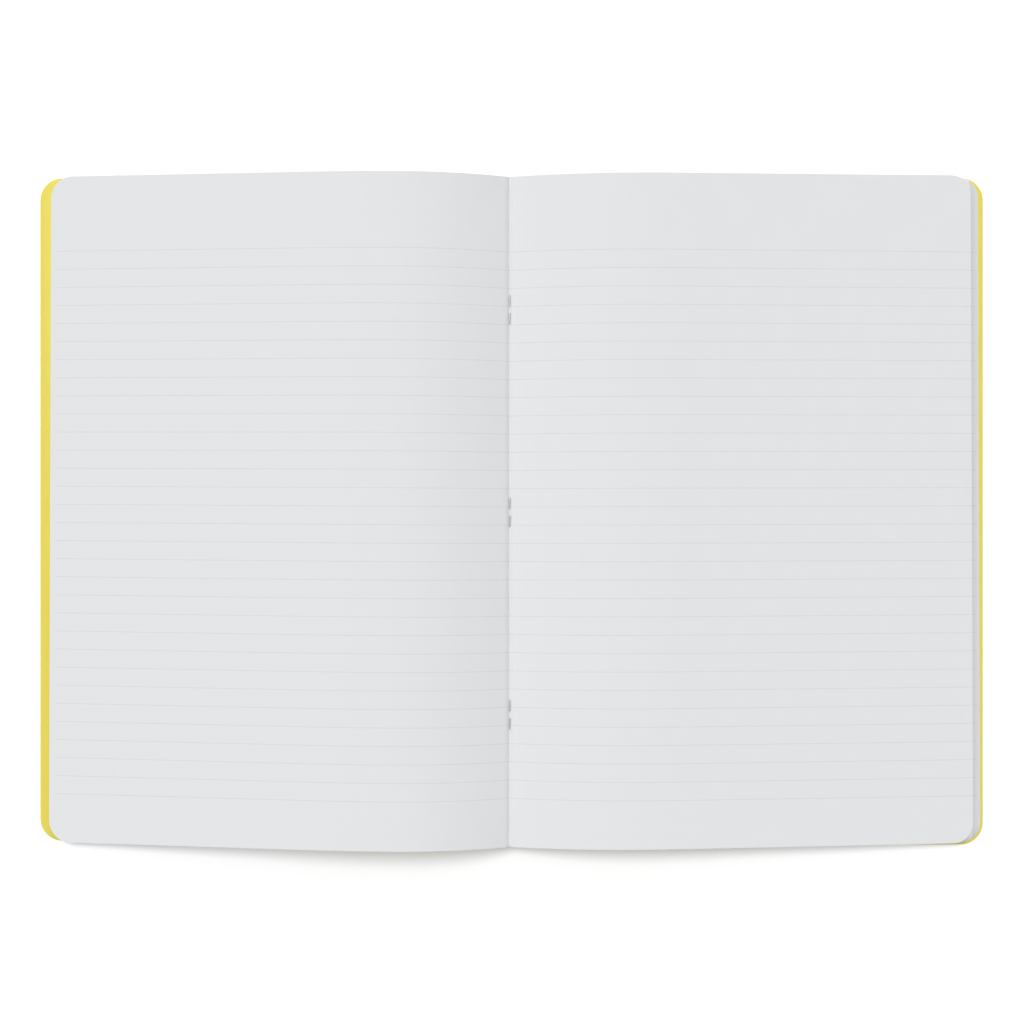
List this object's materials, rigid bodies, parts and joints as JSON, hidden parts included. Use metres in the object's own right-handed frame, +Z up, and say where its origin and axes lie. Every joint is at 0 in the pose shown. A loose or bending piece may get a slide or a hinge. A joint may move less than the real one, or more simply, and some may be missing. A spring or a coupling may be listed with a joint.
{
  "type": "open composition notebook",
  "caption": "Saddle-stitched exercise notebook lying open at its middle: folded card cover, ruled sheets swelling up from the gutter, wire staples in the fold, and a cover that closes over.",
  "frame": {"origin": "on the surface that the book lies on, below the middle of its outline", "axes": "+X across the spread to the right, +Y up the page towards its head, +Z up out of the page"},
  "size_m": [0.3644, 0.2564, 0.0176],
  "materials": {
    "card": "smooth yellow cover card",
    "paper": "white writing paper with faint grey ruling",
    "wire": "bright drawn steel wire"
  },
  "bodies": {
    "back_half": {"back_cover": "card", "back_leaves": "paper"},
    "front_half": {"front_cover": "card", "front_leaves": "paper"},
    "binding": {"staples": "wire"}
  },
  "joints": [
    {"name": "cover_fold", "type": "hinge", "parent": "back_half", "child": "front_half", "pos_m": [-0.0003, 0, 0.00675], "axis": [0, 1, 0], "range_deg": [0, 130]},
    {"name": "staple_turn", "type": "hinge", "parent": "back_half", "child": "binding", "pos_m": [-0.0003, 0, 0.00675], "axis": [0, 1, 0], "range_deg": [0, 65]}
  ],
  "couplings": [
    {"joint": "staple_turn", "follows": "cover_fold", "ratio": 0.5}
  ]
}
